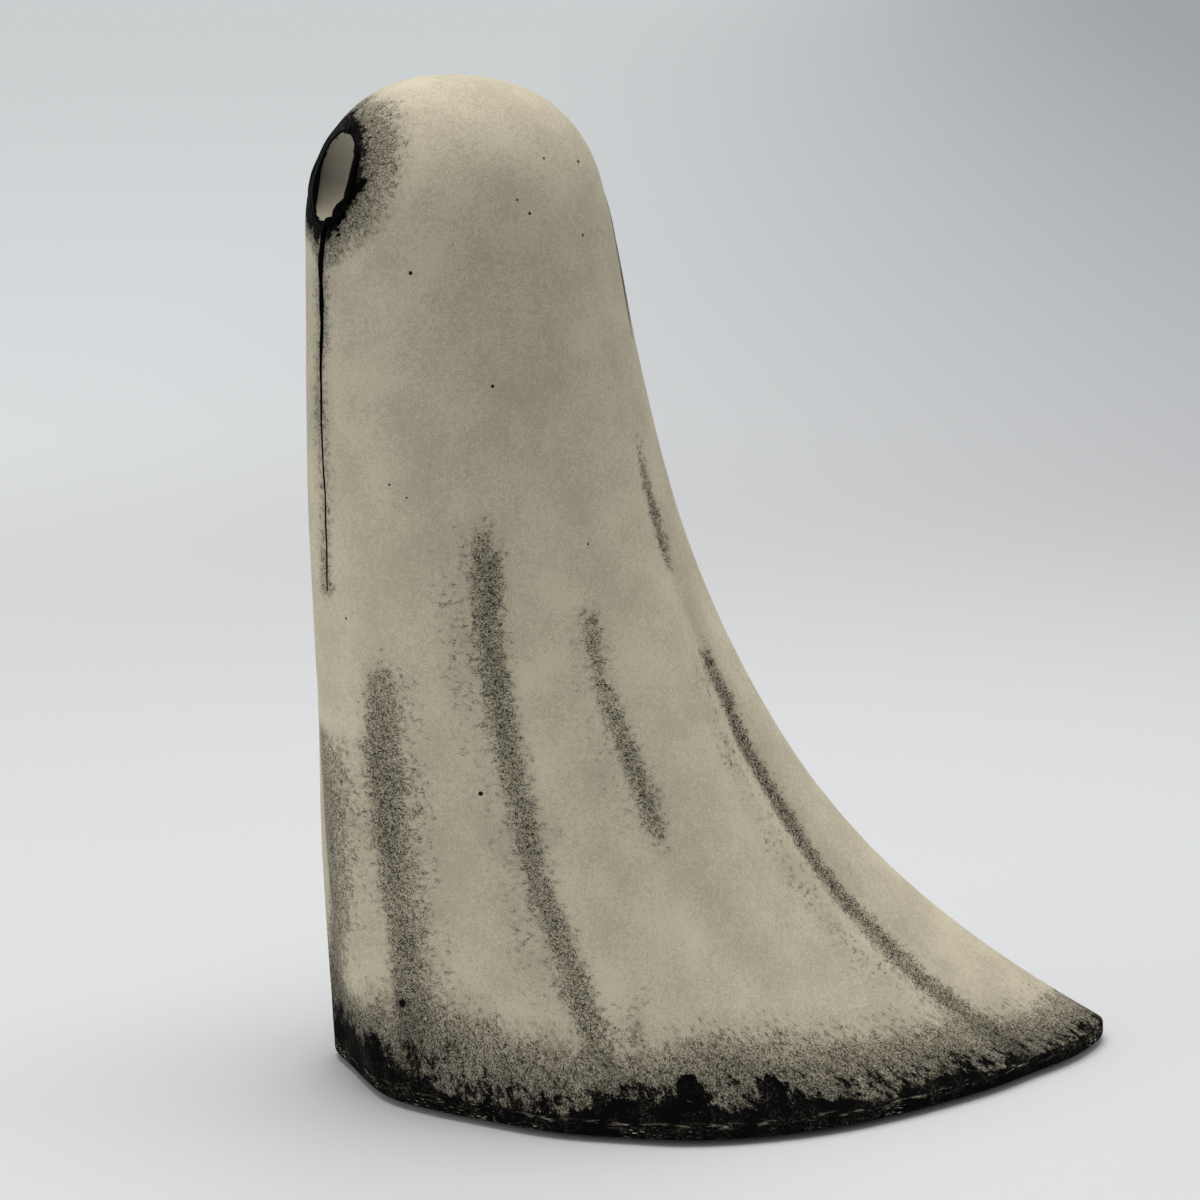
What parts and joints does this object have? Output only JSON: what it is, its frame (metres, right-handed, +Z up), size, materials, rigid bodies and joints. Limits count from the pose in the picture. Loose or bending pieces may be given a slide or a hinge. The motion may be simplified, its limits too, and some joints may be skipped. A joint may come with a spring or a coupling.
{
  "type": "ghost figurine",
  "caption": "Free-standing cast ghost under a draped sheet with a trailing train, hollow eye sockets and enamelled tears, on thin felt pads.",
  "frame": {"origin": "on the surface it stands on, under the middle of its box", "axes": "+Z up, the face looks along -Y and the train runs back along +Y, +X is the ghost's left"},
  "size_m": [0.0732, 0.1226, 0.15],
  "materials": {
    "cream_cast": "matte cast body, dry-brushed black in the folds and at the hem",
    "black_enamel": "wet-looking gloss black enamel",
    "black_felt": "pressed felt"
  },
  "bodies": {
    "root": {"ghost_casting": "cream_cast", "left_eye_enamel": "black_enamel", "right_eye_enamel": "black_enamel", "felt_pad_front_left": "black_felt", "felt_pad_front_right": "black_felt", "felt_pad_side_left": "black_felt", "felt_pad_side_right": "black_felt", "felt_pad_tail": "black_felt"}
  },
  "joints": []
}
